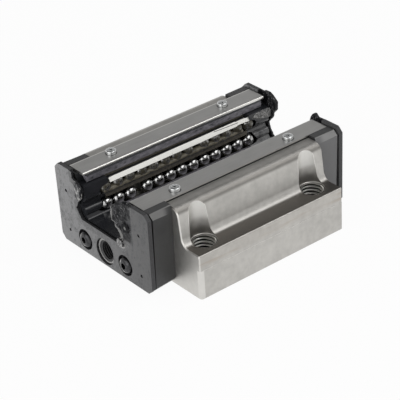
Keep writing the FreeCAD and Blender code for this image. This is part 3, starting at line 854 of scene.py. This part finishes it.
def ground_steel(finish, colours):
    """Block: satin steel with painted shade on level faces, in thread roots and beside the strips, painted
    highlights on corners, flange ends and thread crests, brown streaks and a greasy channel.
    """
    x, _, z = finish.axes
    side, lengthways, up = finish.facing()
    sizes = MOUNTS["flange_bolts"]["dims"]
    hole = sizes["hole_r_mm"]
    grain = finish.noise(0.3)
    mottle = finish.noise(2.2, detail=5)
    cloud = finish.noise(11)
    streak = finish.noise(2.5, (1, 7, 0.6), detail=6)
    inside = finish.channel(0.2, 0.1)
    top = z.ramp(20, 26)
    level = up.ramp(0.8, 0.98)
    # Painted shade on the rounding along the block's top, which dims its highlight.
    shoulder_shade = top * (1 - level) * up.ramp(0.25, 0.6)
    # Painted shade on level faces, for the dark ceiling they mirror: strong on the flange tops, faint on the
    # block's top.
    level_face_shade = z.ramp(14, 15) * level * (0.95 - 0.75 * top) + shoulder_shade * 0.6
    # End faces of the flanges, which get a painted highlight.
    end = abs(lengthways).ramp(0.9, 0.98) * abs(x).ramp(19, 20)
    radius = finish.spread(sizes["spacing_x_mm"] / 2, sizes["spacing_y_mm"] / 2)
    # In the mount holes the thread crests get a painted highlight and the roots painted shade.
    thread_light_and_shade = radius.ramp(hole + 0.06, hole + 0.01)
    crest_highlight = radius.ramp(hole - 0.05, hole - 0.4)
    # Pockets over the mount holes: painted highlight on their upper part, painted shade on their lower part.
    relief = radius.ramp(hole + 0.5, hole + 0.35) * z.ramp(16, 16.2)
    # Corner chamfers away from the holes, which get a painted highlight.
    corner = (abs(side) * abs(lengthways)).ramp(0.3, 0.45) * radius.ramp(hole + 1, hole + 2)
    # Painted highlights on corner chamfers, flange end faces and the pockets' upper parts.
    worn = corner * 0.5 + end * 0.35 + relief * z.ramp(20, 23) * 0.7
    unground = abs(x).ramp(34.5, 34.9) * z.ramp(11.3, 11.8)
    # Painted shade on level faces, the top rounding and the pockets' lower parts, with a little cloudy tone.
    oiled = level_face_shade + cloud * 0.1 * level_face_shade + relief * z.ramp(22, 17) * 0.75
    # Painted shade in a line on the block's top beside the strips' outer edges.
    painted_shade = abs(x).within(19, 19.6, 0.15) * z.ramp(28.2, 28.3)
    finish.set("Metallic", 1 - inside * 0.6)
    colour = finish.layers(
        finish.tint(colours.steel, mottle * 0.5 + cloud * 0.5, 0.14),
        (worn.ramp(0, 1), colours.rubbed),
        (unground * (0.12 + 0.5 * streak.ramp(0.52, 0.72)), colours.streak),
        (oiled.ramp(0, 1), colours.oiled_steel),
        (inside * (0.85 + 0.3 * (mottle - 0.5)), colours.grease),
        (painted_shade * 0.8, colours.lip),
        (thread_light_and_shade, finish.mix(crest_highlight, colours.lip, colours.rubbed)))
    roughness = colours.steel_gloss + 0.10 * (mottle - 0.5) - 0.12 * thread_light_and_shade - 0.06 * inside
    return colour, roughness, grain, 0.006


def channel_grease(finish, colours):
    """Old grease along the upper ball rows: brown, with dark clots and pale flecks, and painted shade along
    its lower side.
    """
    clot = finish.noise(1.3, (1, 1.6, 1), detail=5, roughness=0.65)
    fleck = finish.noise(0.45, roughness=0.7)
    # Dark clots, and painted shade towards the bead's lower side.
    clots_and_lower_shade = clot.ramp(0.42, 0.34) + finish.z.ramp(20.6, 19.8)
    colour = finish.layers(finish.tint(colours.grease, clot, 0.5), (clots_and_lower_shade.ramp(0, 1) * 0.9, colours.lip),
                           (fleck.ramp(0.62, 0.70) * 0.6, colours.strip))
    return colour, 0.3 + 0.3 * clot, clot, 0.08


def dark_moulding(finish, colours):
    """End plates and return guides: dark plastic, with painted highlights on the port bosses and outer
    chamfers, a painted reflection on the rear plates' sides, oily inside.
    """
    _, y, z = finish.axes
    side, lengthways, up = finish.facing()
    dust = finish.noise(6, detail=5)
    grain = finish.noise(0.25)
    inside = finish.channel(0.3, 0.2)
    rear = y.ramp(28, 30)
    port = finish.reach(0, PORT_HEIGHT)
    slope = (abs(side) * up).ramp(0.2, 0.4)
    dull = slope * inside * finish.front() * z.within(13.8, 15.2, 0.2)
    # Painted highlight on the faces of the port bosses.
    boss = port.within(3.75, 4.4, 0.05) * abs(lengthways).ramp(0.6, 0.8)
    # Painted highlights on the port bosses and on the chamfers outside the channel.
    rubbed = boss * 0.6 + slope * (1 - inside) * 0.35
    dry = rear * z.ramp(21, 19) * dust.ramp(0.3, 0.5)
    colour = finish.layers(
        finish.tint(colours.moulding, dust * 0.6 + grain * 0.4, 0.25),
        # Painted reflection: the rear plates' sides are lightened with the seal grey.
        (rear * abs(side).ramp(0.5, 0.9) * 0.9, colours.seal),
        (rubbed.ramp(0, 1), colours.strip),
        (port.ramp(3.72, 3.68), colours.moulding),
        (inside, finish.mix(dry * 0.8, colours.lip, colours.seal)))
    roughness = 0.36 + 0.12 * dust - inside * 0.2 + dull * 0.5
    return colour, roughness, grain * (1 - inside * 0.8), 0.012


def torn_marks(finish, colours):
    """Coats for the dark and light tears on the worn left nose of the front seal."""
    nose = finish.x.within(-14.2, -10.6, 0.4) * finish.z.within(20.2, 26.2, 0.6) * finish.front()
    mark = finish.noise(1.3, (0.6, 1, 1.7), roughness=0.7)
    return ((nose * mark.ramp(0.51, 0.56) * 0.9, colours.lip),
            (nose * mark.ramp(0.46, 0.41) * 0.9, colours.strip))


def grease_stain(finish):
    """Soft dark patch round the front right lobe."""
    return finish.x.ramp(5, 6) * finish.x.ramp(16.4, 14.8) * finish.z.ramp(15.6, 17) * finish.front()


def seal_grey(finish, colours):
    """Seal plates: grey faces with painted light that leaves them paler to the left, scratches and greasy
    smudges, and painted shade on the edges.
    """
    face = abs(finish.facing()[1]).ramp(0.5, 0.8)
    smudge = finish.noise(3, (1, 1, 1.4), detail=6, roughness=0.7)
    fine = finish.noise(0.7, detail=5)
    scratch = finish.noise(0.35, (1, 1, 7), detail=3)
    worn = smudge.ramp(0.48, 0.60) * 0.4 + fine.ramp(0.52, 0.64) * 0.25 + scratch.ramp(0.58, 0.66) * 0.3
    dark = worn + grease_stain(finish) * 0.9
    # Painted light: the faces grow paler to the left.
    plain = finish.mix(finish.x.ramp(-26, 26), scaled(colours.seal, 1.5), scaled(colours.seal, 0.52))
    plain = finish.layers(plain, (dark.ramp(0, 1), colours.lip), *torn_marks(finish, colours))
    # Painted shade: faces that don't look along Y take the darker seal edge colour.
    colour = finish.mix(face, finish.tint(colours.seal_edge, fine, 0.3), plain)
    return colour, 0.46 + 0.2 * (fine - 0.5) - 0.12 * worn, fine, 0.015


def lip_rubber(finish, colours):
    """Seal lips: grey as the seal plates with the same painted shade on edges, dark with grease where they
    curl out, a painted highlight on the grease blob, and pale where torn.
    """
    finish.set("Specular IOR Level", 0.12)
    x, y, z = finish.axes
    face = abs(finish.facing()[1]).ramp(0.5, 0.8)
    fine = finish.noise(0.5)
    fold = finish.noise(1.3, (0.7, 1, 1.5))
    front = finish.front()
    lobe = grease_stain(finish)
    rim = (x - 4.3 * z.ramp(23.4, 16.9)).ramp(7.5, 7.0) * lobe
    blob = finish.reach(12.9, 21.2)
    ring = lobe * blob.ramp(2.0, 1.5)
    # A painted highlight in the middle of the round grease blob, and a pale rim along the lobe's left edge.
    pale = lobe * blob.ramp(0.8, 0.3) + rim
    bulge = finish.reach(9.8, 14.3).ramp(2.2, 1.4) * front * fold.ramp(0.45, 0.55)
    shred = y.within(30, 39.3, 0.2)
    dark = scaled(colours.lip, 0.4)
    # Painted shade: as on the seal plates, faces that don't look along Y take the darker seal edge colour.
    dry = finish.layers(colours.seal_edge, (face, finish.tint(colours.seal, fine, 0.3)),
                        *torn_marks(finish, colours), (bulge * 0.8, colours.strip))
    greasy = finish.layers(
        dark, (fold.ramp(0.44, 0.58), colours.seal_edge),
        (fine.ramp(0.54, 0.62) * fold.ramp(0.46, 0.54), colours.seal),
        (lobe * z.ramp(19.6, 18.8) * 0.8, colours.moulding),
        (ring, dark),
        (pale.ramp(0, 1) * 0.4, colours.strip),
        (shred * (0.25 + 0.5 * fine.ramp(0.42, 0.58)), colours.strip))
    colour = finish.mix((lobe + 1 - front).ramp(0, 1), dry, greasy)
    return colour, 0.38 + 0.4 * (fold - 0.5) + 0.3 * ring, fine, 0.008


def strip_screw_reach(finish):
    """Distance from the nearest strip screw's axis, and its head's radius and top, in millimetres."""
    low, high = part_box("right_strip_screws")
    head = (high.x - low.x) / 2 / MM
    return finish.spread((low.x + high.x) / 2 / MM, high.y / MM - head), head, high.z / MM


def strip_steel(finish, colours):
    """Side seal strips: rolled steel marked along its length, with painted highlights on the inner edges and
    the far strip's outer edge, and painted shade on the outer sides and round the screw heads.
    """
    finish.set("Metallic", 1)
    x, _, z = finish.axes
    mark = finish.noise(0.25, (1, 60, 1))
    cloud = finish.noise(5, (1, 2, 1), detail=5)
    # Painted highlights on the strips' inner edges and the far strip's outer edge.
    bright = abs(x).ramp(12.3, 12.1) + 0.9 * x.ramp(-18.8, -19.1)
    radius, head, _ = strip_screw_reach(finish)
    # Painted shade on the strips' outer sides and in a ring round each screw head.
    painted_shade = abs(x).ramp(19.2, 19.3) * z.ramp(28.85, 28.7) + radius.ramp(head + 0.35, head + 0.1) * 0.8
    colour = finish.layers(finish.tint(colours.strip, mark * 0.4 + cloud * 0.6, 0.12),
                           (bright.ramp(0, 1), colours.rubbed), (painted_shade.ramp(0, 1) * 0.9, colours.lip))
    return colour, 0.38 + 0.12 * (mark - 0.5) + 0.1 * (cloud - 0.5), mark, 0.004


def oiled_sheet(finish, colours):
    """Floor sheet: dark oiled steel."""
    finish.set("Metallic", 0.5)
    film = finish.noise(5, detail=5)
    return finish.tint(colours.wall, film, 0.3), 0.3 + 0.2 * film


def wall_rubber(finish, colours):
    """Rubber walls: dark rubber, mottled with oil and dust, with a black painted shadow under the strip,
    darker to the front.
    """
    fleck = finish.noise(1.2, (1, 2, 1), detail=6)
    film = finish.noise(4, (1, 2, 1))
    # Painted shadow under the strip, darker towards the front, and dark flecks.
    strip_shadow_and_dark_flecks = finish.z.ramp(27.6, 27.9) + 0.35 * finish.y.ramp(-18, -30) + 0.9 * fleck.ramp(0.38, 0.32)
    colour = finish.layers(finish.tint(colours.wall, fleck, 0.5), (film.ramp(0.5, 0.68) * 0.4, colours.seal),
                           (strip_shadow_and_dark_flecks.ramp(0, 1), colours.lip))
    return colour, 0.34 + 0.25 * (fleck - 0.5), fleck, 0.04


def bright_screw(finish, colours):
    """Strip screws: bright zinc, a little dull, with painted shade in the cross recess."""
    finish.set("Metallic", 1)
    scuff = finish.noise(0.6)
    radius, _, top = strip_screw_reach(finish)
    # Painted shade in the cross recess.
    recess = radius.ramp(1.15, 1.05) * finish.z.ramp(top - 0.1, top - 0.3)
    colour = finish.mix(recess * 0.9, finish.tint(colours.zinc, scuff, 0.25), colours.lip)
    return colour, 0.18 + 0.16 * scuff


def dark_screw(finish, colours):
    """End screws: dark oxide steel, with a painted highlight along one edge of each head."""
    finish.set("Metallic", 1)
    low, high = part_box("front_end_screws")
    head = (high.z - low.z) / 2 / MM
    scuff = finish.noise(0.7, detail=5)
    across = finish.x - finish.x.math("SIGN", finish.x) * (high.x / MM - head)
    up = finish.z - (low.z + high.z) / 2 / MM
    edge = finish.span(across, up).within(head - 0.8, head - 0.3, 0.2)
    # Painted highlight along one edge of the head, broken by noise.
    rubbed = edge * (2 * across + up).ramp(-0.5, -1.8) * scuff.ramp(0.25, 0.45)
    colour = finish.mix(rubbed * 0.5, finish.tint(colours.dark_screw, scuff, 0.45), colours.rubbed)
    return colour, 0.22 + 0.2 * scuff, scuff, 0.01


def cream_resin(finish, colours):
    """Ball retainers: cream resin with faint oil specks, a darker web, and a split in the left one."""
    x, y, z = finish.axes
    speck = finish.noise(0.9)
    web = abs(x).ramp(11.8, 12.1)
    split = (z + 0.03 * y).within(24.75, 24.87, 0.12) * y.within(15, 25, 0.5) * x.ramp(0, -1)
    specks_split_and_dark_web = speck.ramp(0.66, 0.74) * 0.5 + web + split * 0.7
    return finish.mix(specks_split_and_dark_web.ramp(0, 1), colours.resin, colours.lip), 0.35 + 0.15 * speck


def ball_steel(finish, colours):
    """Clean balls: polished steel under a thin film."""
    finish.set("Metallic", 1)
    film = finish.noise(1.6)
    return finish.tint(colours.ball, film, 0.12), 0.05 + 0.08 * film


def greasy_ball(finish, colours):
    """Balls of the upper rows: coated with brown grease."""
    bare = finish.noise(1.4, detail=5).ramp(0.45, 0.6)
    finish.set("Metallic", 0.1 + 0.8 * bare)
    colour = finish.mix(bare * 0.6, scaled(colours.grease, 0.5), colours.ball)
    return colour, 0.26 - 0.12 * bare


FINISHES = (ground_steel, channel_grease, dark_moulding, seal_grey, lip_rubber, strip_steel, oiled_sheet,
            wall_rubber, bright_screw, dark_screw, cream_resin, ball_steel, greasy_ball)


def finish_of(name, slot):
    """Finish of a node or piece: its slot's, apart from a few."""
    if name == "floor_retainer":
        return "oiled_sheet"
    if name.endswith("grease_bead"):
        return "channel_grease"
    if "upper" in name and name.endswith("balls"):
        return "greasy_ball"
    return slot


def cover(piece, material):
    """Puts a material on the whole of a piece."""
    if not piece.material_slots:
        piece.data.materials.append(material)
    for place in piece.material_slots:
        place.material = material


class CARRIAGE_OT_finishes(Operator):
    """Give every CAD node and every new piece its finish"""

    bl_idname = "carriage.finishes"
    bl_label = "Finishes"

    def execute(self, context):
        materials = {}
        for maker in FINISHES:
            finish = Finish(maker.__name__)
            materials[maker.__name__] = finish.done(*maker(finish, context.scene.carriage_finishes))
        for name, node in frame["nodes"].items():
            cover(node, materials[finish_of(name, SLOT_OF[name])])
        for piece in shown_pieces():
            if "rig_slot" in piece and piece.name not in frame["nodes"]:
                cover(piece, materials[finish_of(piece.name, piece["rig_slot"])])
        return {"FINISHED"}


def studio_floor(settings):
    """Pale floor that stays white to the camera and to gloss, and still takes the shadow."""
    floor = start("studio_floor", bpy.ops.mesh.primitive_plane_add, size=FLOOR_SIZE)
    finish = Finish("studio_floor_white")
    floor.data.materials.append(finish.done(settings.floor, 0.9))
    seen = finish.ray("Camera", "Glossy", "Transmission")
    glow = finish.add("Emission", {}, {"Color": (1, 1, 1, 1), "Strength": 1})
    shader = Signal(finish, finish.shader.outputs[0])
    mixed = finish.add("MixShader", {}, {0: seen * settings.floor_glow, 1: shader, 2: glow})
    finish.feed(finish.tree.nodes["Material Output"].inputs["Surface"], mixed)
    floor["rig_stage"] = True


def studio_world(settings):
    """White backdrop at the horizon under a darker ceiling."""
    world = bpy.data.worlds.new("studio")
    bpy.context.scene.world = world
    world.use_nodes = True
    nodes = Nodes(world.node_tree)
    height = nodes.parts(nodes.add("TexCoord", output="Generated"))[2]
    level = 1 - (1 - settings.ceiling) * height.ramp(0.05, 0.8)
    backdrop = nodes.tree.nodes["Background"]
    nodes.feed(backdrop.inputs["Color"], (1, 1, 1, 1))
    nodes.feed(backdrop.inputs["Strength"], level.math("MAXIMUM", level, nodes.ray("Camera")))


def standing(name, data, place, right, back):
    """Object at a place, with its own X and Z axes along two directions."""
    stand = bpy.data.objects.new(name, data)
    axes = Matrix((right, back.cross(right), back)).transposed()
    stand.matrix_world = Matrix.Translation(place) @ axes.to_4x4()
    bpy.context.scene.collection.objects.link(stand)
    return stand


def softbox(name, towards, along, distance, length, width, power):
    """Oblong lamp that looks at the carriage; its long side lies along a direction."""
    lamp = bpy.data.lights.new(name, "AREA")
    lamp.shape = "RECTANGLE"
    lamp.size = length
    lamp.size_y = width
    lamp.energy = power
    back = Vector(towards).normalized()
    across = Vector(along) - Vector(along).project(back)
    standing(name, lamp, back * distance, across.normalized(), back)


def photo_camera(settings):
    """Camera at the photograph's place."""
    azimuth, elevation = settings.azimuth, settings.elevation
    back = Vector((math.sin(azimuth) * math.cos(elevation), -math.cos(azimuth) * math.cos(elevation),
                   math.sin(elevation)))
    level = Vector((0, 0, 1)).cross(back).normalized()
    camera = bpy.data.cameras.new("photo_camera")
    camera.sensor_width = 36
    camera.lens = settings.lens
    camera.clip_start = 0.01
    right = Matrix.Rotation(settings.roll, 3, back) @ level
    bpy.context.scene.camera = standing("photo_camera", camera, settings.camera_place, right, back)


class CARRIAGE_OT_stage(Operator):
    """Add the floor, the backdrop, the softboxes and the camera"""

    bl_idname = "carriage.stage"
    bl_label = "Stage"

    def execute(self, context):
        settings = context.scene.carriage_stage
        studio_floor(settings)
        studio_world(settings)
        for name, (towards, along, length, width) in SOFTBOXES.items():
            softbox(f"{name}_softbox", towards, along, settings.lamp_distance, length, width,
                    getattr(settings, f"{name}_power"))
        photo_camera(settings)
        context.scene.view_settings.view_transform = "Standard"
        return {"FINISHED"}


class CARRIAGE_PT_sidebar(Panel):
    """Lists the carriage's builders and their sizes"""

    bl_label = "Carriage"
    bl_idname = "CARRIAGE_PT_sidebar"
    bl_space_type = "VIEW_3D"
    bl_region_type = "UI"
    bl_category = "Carriage"

    def draw(self, context):
        for operator in OPERATORS:
            self.layout.operator(operator.bl_idname)
        for key in GROUPS:
            settings = getattr(context.scene, key)
            box = self.layout.box()
            for name in settings.bl_rna.properties.keys():
                if name not in ("rna_type", "name"):
                    box.prop(settings, name)


GROUPS = {
    "carriage_threads": CarriageThreads,
    "carriage_screws": CarriageScrews,
    "carriage_seals": CarriageSeals,
    "carriage_finishes": CarriageFinishes,
    "carriage_stage": CarriageStage,
}
OPERATORS = (
    CARRIAGE_OT_mount_threads,
    CARRIAGE_OT_port_threads,
    CARRIAGE_OT_end_screws,
    CARRIAGE_OT_strip_screws,
    CARRIAGE_OT_seal_lips,
    CARRIAGE_OT_ball_retainers,
    CARRIAGE_OT_grease_beads,
    CARRIAGE_OT_finishes,
    CARRIAGE_OT_stage,
)


def register():
    for group in (*GROUPS.values(), *OPERATORS, CARRIAGE_PT_sidebar):
        bpy.utils.register_class(group)
    for key, group in GROUPS.items():
        setattr(bpy.types.Scene, key, PointerProperty(type=group))


def unregister():
    for key in GROUPS:
        delattr(bpy.types.Scene, key)
    for group in (CARRIAGE_PT_sidebar, *reversed(OPERATORS), *reversed(GROUPS.values())):
        bpy.utils.unregister_class(group)


def main():
    register()
    bpy.ops.carriage.mount_threads()
    bpy.ops.carriage.port_threads()
    bpy.ops.carriage.end_screws()
    bpy.ops.carriage.strip_screws()
    bpy.ops.carriage.seal_lips()
    bpy.ops.carriage.ball_retainers()
    bpy.ops.carriage.grease_beads()
    bpy.ops.carriage.finishes()
    bpy.ops.carriage.stage()


if __name__ == "__main__":
    main()
